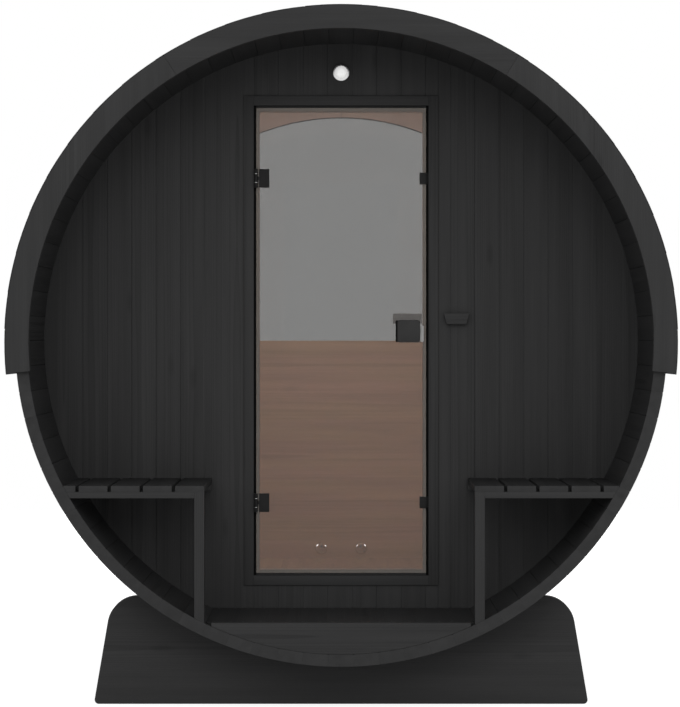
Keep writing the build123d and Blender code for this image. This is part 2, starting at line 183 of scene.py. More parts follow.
def block(x_low, x_high, y_low, y_high, z_low, z_high, edge=board_edge, corner=0.0, segments=2):
    """A rounded box in the row frame. corner rounds the corners that it shows from the front."""
    corners = [(x_low, z_low), (x_high, z_low), (x_high, z_high), (x_low, z_high)]
    return prism(rounded_polygon(corners, [corner] * 4), y_low, y_high, "y", edge, segments)


def loft(rings):
    """A closed solid through rings of points, capped at both ends."""
    solid = bmesh.new()
    made = [[solid.verts.new(point) for point in ring] for ring in rings]
    for one, two in zip(made, made[1:]):
        for i in range(len(one)):
            j = (i + 1) % len(one)
            solid.faces.new((one[i], one[j], two[j], two[i]))
    solid.faces.new(made[0][::-1])
    solid.faces.new(made[-1])
    bmesh.ops.recalc_face_normals(solid, faces=solid.faces)
    return solid


def round_bar(x, y, low, high, radius, axis="z", edge=0.0006, sides=40):
    """A bar with a round section, its middle at (x, y) on the plane square to its axis."""
    return prism(arc(radius, 0, 360 - 360 / sides, (x, y), 360 / sides), low, high, axis, edge)


def axial(outline, low, high, edge=board_edge, segments=2):
    """A solid pulled along the barrel, from an outline measured from the barrel's axis."""
    return prism([(x, z + axis_height) for x, z in outline], low, high, "y", edge, segments)


def turns(sides):
    """The angles of a ring's points."""
    return [2 * pi * i / sides for i in range(sides)]


def dome(x, z, base, depth, radius, reach, sides, steps, fullness=1.0, flutes=0, flute_depth=0.0):
    """A dome that rises from its base towards -Y. With a fullness under 1 its sides are steeper."""
    rings = []
    for i in range(steps + 1):
        share = i / steps
        turn = share * pi / 2 * reach
        ring = []
        for angle in turns(sides):
            flute = flute_depth * (1 - share ** 3) * (0.5 - 0.5 * cos(flutes * angle))
            r = radius * cos(turn) ** fullness * (1 - flute)
            ring.append((x + r * cos(angle), base - depth * sin(turn), z + r * sin(angle)))
        rings.append(ring)
    return loft(rings)


class Batch:
    """Boards or fittings gathered into one piece, each with its own grain, place in it and tone."""

    def __init__(self):
        self.points, self.faces, self.slots, self.grain, self.tone = [], [], [], [], []

    def add(self, solid, along="x", seed=0, paint=0):
        """Adds a solid, its grain along an axis. paint is its material, or picks it by a face's centre."""
        draw = random.Random(seed)
        pith = draw.uniform(0, 2 * pi)
        pith_distance = draw.uniform(0.035, 0.10)
        shift = draw.uniform(-40, 40)
        tone = max(-1.6, min(1.6, draw.gauss(0, 0.8)))
        turn = {"x": (0, 1, 2), "y": (1, 2, 0), "z": (2, 0, 1)}[along]
        solid.verts.index_update()
        spans = [[v.co[a] for v in solid.verts] for a in turn]
        middle = [(min(span) + max(span)) / 2 for span in spans]
        start = len(self.points)
        for v in solid.verts:
            self.points.append(tuple(v.co))
            self.grain += [
                v.co[turn[0]] + shift,
                v.co[turn[1]] - middle[1] + pith_distance * cos(pith),
                v.co[turn[2]] - middle[2] + pith_distance * sin(pith),
            ]
            self.tone.append(tone)
        for face in solid.faces:
            self.faces.append([v.index + start for v in face.verts])
            self.slots.append(paint(face.calc_center_median()) if callable(paint) else paint)
        solid.free()
        return self

    def piece(self, name, materials, replaces=(), slot=stained, body="sauna"):
        """Makes the piece, which rides on a body and stands for the nodes it replaces."""
        mesh = bpy.data.meshes.new(name)
        mesh.from_pydata(self.points, [], self.faces)
        for material in materials:
            mesh.materials.append(material)
        mesh.polygons.foreach_set("material_index", self.slots)
        mesh.attributes.new("grain", "FLOAT_VECTOR", "POINT").data.foreach_set("vector", self.grain)
        mesh.attributes.new("tone", "FLOAT", "POINT").data.foreach_set("value", self.tone)
        mesh.shade_smooth()
        mesh.set_sharp_from_angle(angle=sharp_angle)
        mesh.update()
        made = linked(name, mesh)
        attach(made, body)
        if replaces:
            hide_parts(*replaces)


class Nodes:
    """The node tree of a new material or world, with short calls for the nodes used here."""

    def __init__(self, name, kinds=bpy.data.materials, shader="Principled BSDF"):
        self.owner = kinds.new(name)
        self.owner.use_nodes = True
        self.tree = self.owner.node_tree
        self.shader = self.tree.nodes[shader]

    def node(self, kind, inputs=None, **settings):
        """A new node with its settings, and its inputs set to values or linked to sockets."""
        made = self.tree.nodes.new("ShaderNode" + kind)
        for key, value in settings.items():
            setattr(made, key, value)
        for key, value in (inputs or {}).items():
            self.link(value, made.inputs[key])
        return made

    def link(self, value, socket):
        """Links a socket, or sets a plain value."""
        if isinstance(value, bpy.types.NodeSocket):
            self.tree.links.new(value, socket)
        else:
            socket.default_value = value

    def set(self, **values):
        """Sets the shader's inputs by name, with spaces written as underscores."""
        for key, value in values.items():
            self.link(value, self.shader.inputs[key.replace("_", " ")])

    def math(self, operation, one, two):
        return self.node("Math", {0: one, 1: two}, operation=operation).outputs[0]

    def sum(self, base, one, factor):
        """A value times a factor, added to a base."""
        inputs = {0: one, 1: factor, 2: base}
        return self.node("Math", inputs, operation="MULTIPLY_ADD").outputs[0]

    def position(self):
        """A point's place in the frame, in metres."""
        return self.node("TexCoord").outputs["Object"]

    def attribute(self, name, kind="Fac"):
        """A socket of a named attribute of the mesh."""
        return self.node("Attribute", attribute_name=name).outputs[kind]

    def fit(self, value, low, high, to_low, to_high):
        """A value's range moved to another range."""
        inputs = {"Value": value, "From Min": low, "From Max": high, "To Min": to_low, "To Max": to_high}
        return self.node("MapRange", inputs).outputs[0]

    def times(self, vector, factor):
        """A vector or colour multiplied by a factor, or by one for each part."""
        return self.node("VectorMath", {0: vector, 1: factor}, operation="MULTIPLY").outputs[0]

    def noise(self, vector, scale, detail=2.0, roughness=0.5):
        inputs = {"Vector": vector, "Scale": scale, "Detail": detail, "Roughness": roughness}
        return self.node("TexNoise", inputs).outputs["Fac"]

    def bump(self, height, distance):
        return self.node("Bump", {"Height": height, "Distance": distance}).outputs[0]

    def mix(self, share, one, two):
        """A blend of two colours."""
        return self.node("Mix", {"Factor": share, 6: one, 7: two}, data_type="RGBA").outputs[2]

    def seen(self):
        """1 for rays that the camera, a pane or a reflection sends, 0 for those that only light."""
        paths = self.node("LightPath").outputs
        seen = self.math("MAXIMUM", paths["Is Camera Ray"], paths["Is Transmission Ray"])
        return self.math("MAXIMUM", seen, paths["Is Glossy Ray"])

    def surface(self, share, one, two):
        """Makes the surface a blend of two shaders."""
        both = self.node("MixShader", {0: share, 1: one, 2: two})
        self.link(both.outputs[0], self.tree.nodes["Material Output"].inputs["Surface"])


def timber(name, colour, second=None, ring=0.14, streak=0.30, tone_spread=0.0, knots=0.10, roughness=0.60,
           specular=0.30, relief=0.0002, from_place=False):
    """Sawn and planed softwood: growth rings, streaks, fibres and knots in the board's own direction."""
    made = Nodes(name)
    if from_place:
        turned = made.node("SeparateXYZ", {0: made.position()}).outputs
        grain = made.node("CombineXYZ", {0: turned[1], 1: turned[0], 2: turned[2]}).outputs[0]
        tone = 0.0
    else:
        grain = made.attribute("grain", "Vector")
        tone = made.attribute("tone")
    rings = made.node("TexWave", {
        "Vector": made.times(grain, (0.10, 1.0, 1.0)), "Scale": 62.0, "Distortion": 7.0,
        "Detail": 2.0, "Detail Scale": 0.12, "Detail Roughness": 0.55,
    }, wave_type="RINGS", rings_direction="X", wave_profile="SAW").outputs["Fac"]
    late_wood = made.math("POWER", rings, 2.2)
    streaks = made.noise(made.times(grain, (0.9, 26.0, 26.0)), 1.0, 3.0, 0.6)
    fibres = made.noise(made.times(grain, (9.0, 700.0, 700.0)), 1.0, 2.0, 0.6)
    knot_field = made.node("TexVoronoi", {
        "Vector": made.times(grain, (2.3, 8.0, 8.0)), "Scale": 1.0,
    }).outputs["Distance"]
    knot = made.fit(knot_field, 0.05, 0.13, 1.0, 0.0)
    light = 1.0
    for signal, middle, weight in ((late_wood, 0.35, -ring), (streaks, 0.5, streak),
                                   (fibres, 0.5, ring * 0.9), (tone, 0.0, tone_spread)):
        light = made.sum(light, made.math("SUBTRACT", signal, middle), weight)
    light = made.math("MULTIPLY", light, made.sum(1.0, knot, -knots))
    if second:
        patches = made.noise(made.times(grain, (1.6, 9.0, 9.0)), 1.0, 2.0, 0.5)
        colour = made.mix(made.fit(patches, 0.38, 0.62, 0.0, 1.0), (*colour, 1), (*second, 1))
    made.set(
        Base_Color=made.times(colour, light),
        Roughness=made.sum(roughness, late_wood, -0.08),
        Specular_IOR_Level=specular,
        Normal=made.bump(made.sum(fibres, late_wood, 0.7), relief),
    )
    return made.owner


def painted_metal(name, colour, roughness, specular=0.16):
    """Powder-coated steel or moulded rubber: a fine orange-peel surface."""
    made = Nodes(name)
    place_on = made.position()
    grit = made.noise(place_on, 900.0, 2.0)
    cloud = made.noise(place_on, 25.0, 3.0)
    made.set(
        Base_Color=made.times(colour, made.fit(cloud, 0.3, 0.7, 0.9, 1.1)),
        Roughness=made.fit(grit, 0.3, 0.7, roughness - 0.05, roughness + 0.05),
        Specular_IOR_Level=specular,
        Normal=made.bump(grit, 0.00015),
    )
    return made.owner


def brushed_metal(name, colour, roughness, lines, relief):
    """Steel with fine brushed lines. lines stretches them along one axis."""
    made = Nodes(name)
    place_on = made.position()
    brushing = made.noise(made.times(place_on, lines), 1.0, 3.0, 0.7)
    smears = made.noise(place_on, 14.0, 3.0)
    made.set(
        Base_Color=made.times(colour, made.fit(brushing, 0.3, 0.7, 0.88, 1.06)),
        Metallic=1.0,
        Roughness=made.math("ADD", made.fit(brushing, 0.3, 0.7, roughness - 0.06, roughness + 0.06),
                            made.fit(smears, 0.3, 0.7, -0.04, 0.06)),
        Normal=made.bump(brushing, relief),
    )
    return made.owner


def glass(name, colour, smudge, through):
    """Toughened glass with faint smudges in its polish. Light from the lamps passes it, less a little."""
    made = Nodes(name)
    smudges = made.noise(made.position(), 6.0, 4.0, 0.65)
    made.set(
        Base_Color=colour,
        Transmission_Weight=1.0,
        IOR=1.45,
        Roughness=made.fit(smudges, 0.45, 0.75, 0.0, smudge),
    )
    shadow = made.node("LightPath").outputs["Is Shadow Ray"]
    open_way = made.node("BsdfTransparent", {"Color": through})
    made.surface(shadow, made.shader.outputs[0], open_way.outputs[0])
    return made.owner


def shingle():
    """Bitumen shingle with mineral granules."""
    made = Nodes("shingle")
    place_on = made.position()
    granules = made.node("TexVoronoi", {"Vector": place_on, "Scale": 520.0}).outputs
    weather = made.noise(place_on, 7.0, 4.0, 0.6)
    speck = made.node("SeparateColor", {0: granules["Color"]}).outputs[0]
    light = made.math("MULTIPLY", made.fit(speck, 0.0, 1.0, 0.55, 1.6),
                      made.fit(weather, 0.3, 0.7, 0.85, 1.15))
    light = made.sum(light, made.attribute("tone"), 0.13)
    made.set(
        Base_Color=made.times((0.030, 0.030, 0.032), light),
        Roughness=0.93,
        Specular_IOR_Level=0.25,
        Normal=made.bump(granules["Distance"], 0.0006),
    )
    return made.owner


def lamp_glass():
    """Frosted white glass, lit from inside."""
    made = Nodes("frosted_glass")
    frost = made.noise(made.position(), 260.0, 3.0)
    made.set(
        Base_Color=(0.66, 0.66, 0.65, 1),
        Roughness=made.fit(frost, 0.3, 0.7, 0.28, 0.42),
        Emission_Color=made.mix(frost, (0.80, 0.81, 0.82, 1), (1.0, 0.99, 0.97, 1)),
        Emission_Strength=0.53,
        Normal=made.bump(frost, 0.0003),
    )
    return made.owner


def chrome():
    """Polished chrome with faint wiping marks."""
    made = Nodes("chrome")
    marks = made.noise(made.position(), 60.0, 3.0)
    made.set(Base_Color=(0.90, 0.90, 0.91, 1), Metallic=1.0,
             Roughness=made.fit(marks, 0.3, 0.7, 0.12, 0.22))
    return made.owner


black = timber(stained, (0.0316, 0.0316, 0.0319), ring=0.22, streak=0.55, tone_spread=0.035, knots=0.18,
               roughness=0.72, specular=0.10)
# Painted shade: a darker copy of the black stain for the porch's inner faces, its floor and the bench tops
shaded_black = timber("black_timber_painted_shade", (0.0235, 0.0235, 0.0238), ring=0.22, streak=0.55,
                   tone_spread=0.035, knots=0.18, roughness=0.75, specular=0.08)
natural = timber("natural_timber", (0.56, 0.382, 0.294), (0.57, 0.408, 0.286), ring=0.16, streak=0.55,
                 tone_spread=0.03, knots=0.12)
arch_wood = timber("arch_timber", (0.70, 0.57, 0.51), (0.70, 0.58, 0.495))
bead_wood = timber("bead_timber", (0.74, 0.645, 0.545), ring=0.10, streak=0.20)
roof_wood = timber("roof_boarding", (0.42, 0.30, 0.19), ring=0.25, streak=0.4, knots=0.3, roughness=0.7,
                   relief=0.0003, from_place=True)
floor_wood = timber("bearer_timber", (0.030, 0.030, 0.0305), ring=0.2, streak=0.5, roughness=0.7,
                    specular=0.22, relief=0.0003, from_place=True)
shingles = shingle()
black_metal = painted_metal("black_metal", (0.009, 0.009, 0.009), 0.5)
black_handle = painted_metal("black_handle", (0.026, 0.026, 0.026), 0.42)
# Near-black and without sheen: rubber, and painted shade in the gap round the door's glass
rubber_and_shade = painted_metal("black_rubber", (0.008, 0.008, 0.008), 0.9, 0.0)
screw_steel = painted_metal("screw_steel", (0.018, 0.018, 0.019), 0.35)
hoop_steel = brushed_metal("hoop_steel", (0.26, 0.26, 0.26), 0.40, (30.0, 1800.0, 30.0), 0.00006)
silver = brushed_metal("silver_washer", (0.75, 0.75, 0.74), 0.25, (60.0, 60.0, 2500.0), 0.00003)
plate_grey = painted_metal("plate_grey", (0.73, 0.695, 0.67), 0.5)
bar_metal = painted_metal("bar_metal", (0.375, 0.37, 0.365), 0.4)
ring_metal = brushed_metal("lamp_ring", (0.72, 0.72, 0.72), 0.3, (900.0, 60.0, 900.0), 0.00004)
tinted_glass = glass("tinted_glass", (0.300, 0.2955, 0.2925, 1), 0.02, (0.92, 0.91, 0.90, 1))
clear_glass = glass("clear_glass", (0.64, 0.65, 0.647, 1), 0.02, (0.85, 0.86, 0.86, 1))
frosted = lamp_glass()
chromed = chrome()


# Camera: the photograph's centre and the ratios of its rims give the place and the lens
camera = linked("camera", bpy.data.cameras.new("camera"))
camera.data.lens = 112.3
camera.data.shift_x, camera.data.shift_y = -0.0016, -0.0182
camera.data.clip_end = 100
camera.location = (0, -8.84, axis_height)
camera.rotation_euler = (radians(90), 0, 0)
scene.camera = camera


# Staves
stave_angle = 360 / (run_count * staves_per_run)
first_stave_angle = -120
outer_notch, inner_notch, groove_notch = 0.0026, 0.0025, 0.0003
stave_overlap, stave_end_edge, groove_slack = 0.00002, 0.0004, 0.0003
paint_depth = 0.004


def stave_profile(low_angle, inner, notch):
    """The section of one stave, with rounded corners, as points from the axis."""
    def on(angle, sideways, radius):
        a = radians(angle) + sideways / radius
        return (radius * cos(a), radius * sin(a))

    high_angle = low_angle + stave_angle
    middle = (low_angle + high_angle) / 2
    corner = ((0.0, 1.0), (0.3, 0.3), (1.0, 0.0))
    half = [(notch * side - stave_overlap, inner + notch * drop) for side, drop in corner[::-1]]
    half += [(outer_notch * side - stave_overlap, barrel_radius - outer_notch * drop)
             for side, drop in corner]
    return [*(on(low_angle, sideways, radius) for sideways, radius in half), on(middle, 0, barrel_radius),
            *(on(high_angle, -sideways, radius) for sideways, radius in half[::-1]), on(middle, 0, inner)]


def stave(low_angle):
    """One stave over the barrel's length, with rounded ends and the grooves that hold both walls."""
    full = stave_profile(low_angle, inner_radius, inner_notch)
    slotted = stave_profile(low_angle, groove_radius, groove_notch)
    middle = (Vector(full[3]) + Vector(full[9])) / 2
    ends = []
    for point in full:
        inward = (middle - Vector(point)).normalized() * stave_end_edge
        ends.append((point[0] + inward.x, point[1] + inward.y))
    sections = [(front_y, ends), (front_y + stave_end_edge, full)]
    for start, stop in ((wall_front, wall_back), (rear_wall_front, rear_wall_back)):
        sections += [(start - groove_slack, full), (start - groove_slack, slotted),
                     (stop + groove_slack, slotted), (stop + groove_slack, full)]
    sections += [(rear_y - stave_end_edge, full), (rear_y, ends)]
    return loft([[(x, y, z + axis_height) for x, z in profile] for y, profile in sections])


def stave_paint(centre):
    """Natural wood inside the cabin, black stain everywhere else, and a darker black on the inner faces as
    painted shade.
    """
    if hypot(centre.x, centre.z - axis_height) > inner_radius + paint_depth:
        return 0
    return 1 if wall_back < centre.y < rear_wall_front else 2


run_names = ("bottom", "lower_right", "upper_right", "top", "upper_left", "lower_left")
for run, run_name in enumerate(run_names):
    staves = Batch()
    for number in range(staves_per_run):
        low_angle = first_stave_angle + (run * staves_per_run + number) * stave_angle
        staves.add(stave(low_angle), "y", run * 100 + number, stave_paint)
    staves.piece(f"staves_{run_name}", (black, natural, shaded_black), [f"barrel_{run_name}"])


# Fascias: curved boards over both ends
fascia_joint, fascia_edge = 0.0004, 0.0009
fascia_sweep = (180 + 2 * eave_angle) / 3
slack = degrees(fascia_joint / roof_outer) / 2
for end_name, near, far in (("front", fascia_front, front_y), ("rear", rear_y, fascia_rear)):
    for number, side in enumerate(("right", "top", "left")):
        outline = ring_sector(roof_outer - fascia_width, roof_outer,
                              number * fascia_sweep - eave_angle + slack, fascia_sweep - 2 * slack)
        fascia = Batch().add(axial(outline, near, far, fascia_edge), "x" if side == "top" else "z",
                             fascia_seed + number)
        fascia.piece(f"fascia_board_{end_name}_{side}", (black,), [f"{end_name}_fascia_{side}"])


# Roof: bitumen shingles from both eaves to a ridge row, with a turned edge under each eave
shingle_row, row_overlap = 0.139, 1.08
shingle_width, shingle_thickness, shingle_lift, shingle_slot = 0.196, 0.0009, 0.00102, 0.004
shortest_shingle, row_stagger = 0.01, 0.12
eave_base, ridge_base = 0.0020, 0.0008
underlay, underlay_gap, underlay_seed = 0.0003, 0.0001, 3
ridge_half, ridge_step, ridge_overlap, ridge_lift, ridge_thickness = 3.6, 0.145, 1.05, 0.0018, 0.0008
eave_thickness, eave_edge, eave_inset, eave_clear, eave_seed = 0.004, 0.0006, 0.0002, 0.0005, 5


def bent_slab(y_low, y_high, low_angle, high_angle, inner, thickness, lift=0.0, steps=4):
    """A slab bent round the roof. Its lower edge may stand off by a lift."""
    rings = []
    for i in range(steps + 1):
        share = i / steps
        angle = radians(low_angle + (high_angle - low_angle) * share)
        radius = inner + lift * (1 - share)
        top = radius + thickness
        rings.append([(r * cos(angle), y, axis_height + r * sin(angle))
                      for y, r in ((y_low, radius), (y_high, radius), (y_high, top), (y_low, top))])
    return loft(rings)


cover = Batch()
draw = random.Random(cover_seed)
eave_turn = degrees(eave_thickness / roof_outer)
rows = ceil((90 + eave_angle) / degrees(shingle_row / roof_outer))
row_angle = (90 + eave_angle) / rows
for side in (0, 1):
    for row in range(rows):
        low_angle = row * row_angle - eave_angle
        high_angle = min(low_angle + row_angle * row_overlap, 90)
        base = eave_base + (ridge_base - eave_base) * row / (rows - 1)
        low, high = (180 - low_angle, 180 - high_angle) if side else (low_angle, high_angle)
        cover.add(bent_slab(fascia_front, fascia_rear, low, high, roof_outer + underlay,
                            base - underlay - underlay_gap, steps=12), "y", underlay_seed)
        y = fascia_front - (0.5 * shingle_width if row % 2 else 0)
        while y < fascia_rear - shortest_shingle:
            y_low = max(y, fascia_front) + (shingle_slot / 2 if y > fascia_front else 0)
            y_high = min(y + shingle_width, fascia_rear)
            y_high -= shingle_slot / 2 if y + shingle_width < fascia_rear else 0
            low = low_angle + (draw.uniform(0, row_stagger) * row_angle if row else 0)
            high = high_angle
            if side:
                low, high = 180 - low, 180 - high
            cover.add(bent_slab(y_low, y_high, low, high, roof_outer + base, shingle_thickness,
                                shingle_lift), "y", draw.random())
            y += shingle_width
y = fascia_front
while y < fascia_rear - shortest_shingle:
    y_high = min(y + ridge_step * ridge_overlap, fascia_rear)
    cover.add(bent_slab(y, y_high, 90 - ridge_half, 90 + ridge_half, roof_outer + ridge_lift,
                        ridge_thickness, steps=6), "y", draw.random())
    y += ridge_step
for start in (-eave_angle - eave_turn, 180 + eave_angle):
    outline = ring_sector(barrel_radius + eave_clear, cover_outer - eave_inset, start, eave_turn)
    cover.add(axial(outline, fascia_front, fascia_rear, eave_edge), "y", eave_seed)
cover.piece("roof_shingles", (shingles,), ["roof_cover"], "roof_cover")


# Cradles
foot_half, top_half = 0.885, 0.820
foot_round, shoulder_round, cradle_edge, seat_clear = 0.015, 0.105, 0.003, 0.0003
cradle_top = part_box("cradle_front")[1].z - axis_height
seat_circle = barrel_radius + seat_clear
seat_half = sqrt(seat_circle ** 2 - cradle_top ** 2)
seat_tip = degrees(atan2(cradle_top, seat_half))
seat_arc = arc(seat_circle, seat_tip, -180 - seat_tip)[1:-1]
corners = [(-foot_half, -axis_height), (foot_half, -axis_height), (top_half, cradle_top),
           (seat_half, cradle_top), *seat_arc, (-seat_half, cradle_top), (-top_half, cradle_top)]
radii = [foot_round, foot_round, shoulder_round, 0] + [0] * len(seat_arc) + [0, shoulder_round]
outline = rounded_polygon(corners, radii, 6)
for end_name in ("front", "rear"):
    low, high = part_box(f"cradle_{end_name}")
    cradle = Batch().add(axial(outline, low.y, high.y, cradle_edge, 3), "x", cradle_seed + ord(end_name[0]))
    cradle.piece(f"cradle_board_{end_name}", (black,), [f"cradle_{end_name}"])


# Front wall: upright boards, natural inside the cabin
narrowest_board = 0.006
face_slack = 0.001


def inside_paint(centre):
    """Natural wood on the cabin's side of a wall."""
    return 1 if wall_back - face_slack < centre.y < rear_wall_front + face_slack else 0


def shallow(upright):
    """Makes a wall board's rounded edges in front shallower than they are wide."""
    for v in upright.verts:
        if abs(v.co.y - wall_front) < wall_joint * 1.01:
            v.co.y = wall_front + (v.co.y - wall_front) * joint_depth / wall_joint
    return upright


def wall_boards(name, x_low, x_high, low=-wall_radius, high=wall_radius):
    """The upright boards of a part of the front wall. A board keeps its grain above and below the door."""
    boards = Batch()
    first = floor((x_low - board_offset) / board_pitch)
    last = ceil((x_high - board_offset) / board_pitch)
    for number in range(first, last):
        left = max(x_low, board_offset + number * board_pitch)
        right = min(x_high, board_offset + (number + 1) * board_pitch)
        outline = clipped_box(left, right, low, high, wall_radius)
        if right - left >= narrowest_board and len(outline) > 2:
            upright = axial(outline, wall_front, wall_back, (wall_joint, back_edge), 3)
            boards.add(shallow(upright), "z", wall_seed + number, inside_paint)
    boards.piece(f"boards_{name}", (black, natural), [f"front_wall_{name}"])


opening_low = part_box("front_wall_left")[1].x
opening_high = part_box("front_wall_right")[0].x
over_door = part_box("front_wall_over_door")[0].z - axis_height
under_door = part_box("front_wall_under_door")[1].z - axis_height
wall_boards("left", -wall_radius, opening_low)
wall_boards("right", opening_high, wall_radius)
wall_boards("over_door", opening_low, opening_high, low=over_door)
wall_boards("under_door", opening_low, opening_high, high=under_door)


# Door frame: rebated jambs, head and sill, with a natural bead behind the edge of the glass
rebate = stop_face + 0.001
casing_edge, bead_edge = 0.0012, 0.0008
stop_lap, bead_cover, seal_shade_reach = 0.020, -0.0004, 0.0005
bead_paint = 2
sill_low, sill_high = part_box("door_sill")
light_low, light_high = sill_low.x, sill_high.x
light_bottom, light_top = sill_high.z - stop_lap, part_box("door_head")[0].z + stop_lap
bead_low, bead_high = pane_low.z + bead_cover, pane_high.z - bead_cover
casing_woods = (black, natural, bead_wood, rubber_and_shade)


def casing_paint(centre):
    """Black in front, near-black rubber in the rebate that also paints the shade in the gap round the
    glass, natural wood on the cabin's side.
    """
    if centre.y > rebate + face_slack:
        return 1
    across = abs(centre.x) < light_high + seal_shade_reach
    upright = light_bottom - seal_shade_reach < centre.z < light_top + seal_shade_reach
    return 3 if across and upright and centre.y > frame_low.y + casing_edge else 0


for side, side_name, outer in ((-1, "left", frame_low.x), (1, "right", frame_high.x)):
    inner = side * light_high
    covered = side * (pane_high.x - bead_cover)
    near, far = sorted((covered, side * (light_high - stop_lap)))
    outline = [(outer, frame_low.y), (inner, frame_low.y), (inner, rebate), (covered, rebate),
               (covered, frame_high.y), (outer, frame_high.y)]
    jamb = Batch()
    jamb.add(prism(outline, frame_low.z, frame_high.z, "z", casing_edge), "z",
             casing_seed + ord(side_name[0]), casing_paint)
    jamb.add(block(near, far, stop_face, frame_high.y, bead_low, bead_high, bead_edge), "z",
             casing_seed + 4 + side, bead_paint)
    for low, high in ((frame_low.z, bead_low), (bead_high, frame_high.z)):
        jamb.add(block(near, far, rebate, frame_high.y, low, high, broken_edge), "z",
                 casing_seed + 7 + side, casing_paint)
    jamb.piece(f"casing_{side_name}", casing_woods, [f"door_jamb_{side_name}"])
for rail_name, inward in (("head", -1), ("sill", 1)):
    low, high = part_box(f"door_{rail_name}")
    outer, tip, covered = (high.z, low.z, bead_high) if inward < 0 else (low.z, high.z, bead_low)
    rail = Batch()
    for half, y_low, y_high, ends, edge, seed_step, paint in (
        (light_high, low.y, rebate, (outer, tip - inward * stop_lap), casing_edge, 10, casing_paint),
        (light_high - stop_lap, rebate, high.y, (outer, covered), broken_edge, 10, casing_paint),
        (light_high - stop_lap, stop_face, high.y, (tip, covered), bead_edge, 14, bead_paint),
    ):
        rail.add(block(-half, half, y_low, y_high, min(ends), max(ends), edge), "x",
                 casing_seed + seed_step + inward, paint)
    rail.piece(f"casing_{rail_name}", casing_woods, [f"door_{rail_name}"])


# Floors, bearers and the porch's front board
floor_low, floor_high = (corner.z - axis_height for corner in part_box("porch_floor"))
floor_pitch, floor_board, floor_count = 0.104, 0.1038, 9
bearer_middle = bearer_width / 2
screw_spread, last_slat_screw = 0.030, 0.018
screw_radius, screw_sides = 0.0042, 24


def screw(x, y, z):
    """A countersunk screw head with a star recess, sunk flush into the level face at a point."""
    rings = []
    for share, star_share, depth in ((1.0, 1.0, -0.0012), (1.0, 1.0, 0.0001), (0.93, 0.93, 0.0004),
                                     (0.55, 0.55, 0.0005), (0.50, 0.34, 0.0004), (0.50, 0.34, -0.0008)):
        ring = []
        for i, angle in enumerate(turns(screw_sides)):
            r = screw_radius * (share if i % 4 < 2 else star_share)
            ring.append((x + r * cos(angle), y + r * sin(angle), z + depth))
        rings.append(ring)
    return loft(rings)


screws = Batch()
for name, y_low, y_high, material, slot_name, bearers in (
    # The porch floor takes the darker black, painted shade
    ("porch_floor", front_y + bearer_width, wall_front, shaded_black, stained,
     (front_y + bearer_width + bearer_middle, wall_front - bearer_middle)),
    ("cabin_floor", wall_back, rear_wall_front, natural, "natural_timber",
     (wall_back + bearer_middle, (wall_back + rear_wall_front) / 2, rear_wall_front - bearer_middle)),
):
    planks = Batch()
    for number in range(floor_count):
        middle = (number - 4) * floor_pitch
        outline = clipped_box(middle - floor_board / 2, middle + floor_board / 2, floor_low, floor_high,
                              seat_radius)
        planks.add(axial(outline, y_low, y_high, broken_edge, 1), "y", floor_seed + number + len(name))
        for y in bearers:
            for side in (-1, 1):
                screws.add(screw(middle + side * screw_spread, y, floor_high + axis_height))
    planks.piece(f"{name}_boards", (material,), [name], slot_name)

front_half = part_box("porch_front_board")[1].x
outline = clipped_box(-front_half, front_half, -inner_radius, floor_high, seat_radius)
front_board = Batch().add(axial(outline, front_y, front_y + bearer_width, 0.002), "x", edge_board_seed)
front_board.piece("porch_edge_board", (black,), ["porch_front_board"])


# Benches
bench_edge_middle, bench_shift = 0.4693, 0.0055
slat_thickness, slat_count = 0.021, 5
first_slat, slat_pitch, slat_gap = 0.1003, 0.1114, 0.012
rail_height, post_width, rail_depth = 0.0215, 0.034, 0.034
rail_joint = 0.0002
bench_round = 0.0005
bench_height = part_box("bench_slats_left")[1].z
bench_top = bench_height - axis_height
rail_top = bench_top - slat_thickness


def slat_paint(centre):
    """Black stain, with a darker black on the slats' upper faces as painted shade."""
    return 1 if centre.z > bench_height - 0.0001 else 0


for side, side_name in ((-1, "left"), (1, "right")):
    bench_edge = bench_edge_middle - side * bench_shift
    edges = [bench_edge]
    for number in range(slat_count - 1):
        slat_end = bench_edge + first_slat + number * slat_pitch
        edges += [slat_end, slat_end + slat_gap]
    edges.append(inner_radius)
    slats = Batch()
    for number in range(slat_count):
        low, high = sorted((side * edges[2 * number], side * edges[2 * number + 1]))
        outline = clipped_box(low, high, rail_top, bench_top, seat_radius)
        slats.add(axial(outline, front_y, wall_front, bench_round), "y", slat_seed + number + 10 * side,
                  slat_paint)
        middle = (low + high) / 2
        places = (middle - screw_spread, middle + screw_spread)
        if number == slat_count - 1:
            places = (side * (edges[-2] + last_slat_screw),)
        for y in (front_y + bearer_middle, wall_front - bearer_middle):
            for x in places:
                screws.add(screw(x, y, bench_height))
    slats.piece(f"bench_boards_{side_name}", (black, shaded_black), [f"bench_slats_{side_name}"])
    rails = Batch()
    for start, stop, low, y_low, along in (
        (bench_edge, bench_edge + post_width, -inner_radius, front_y, "z"),
        (bench_edge + post_width + rail_joint, inner_radius, rail_top - rail_height, front_y, "x"),
        (bench_edge, inner_radius, rail_top - rail_height, wall_front - rail_depth, "x"),
    ):
        outline = clipped_box(*sorted((side * start, side * stop)), low, rail_top, seat_radius)
        rails.add(axial(outline, y_low, y_low + rail_depth, bench_round), along, rail_seed + side)
    rails.piece(f"bench_rails_{side_name}", (black,), [f"bench_frame_{side_name}"])
screws.piece("floor_and_bench_screws", (screw_steel,), (), "black_metal")


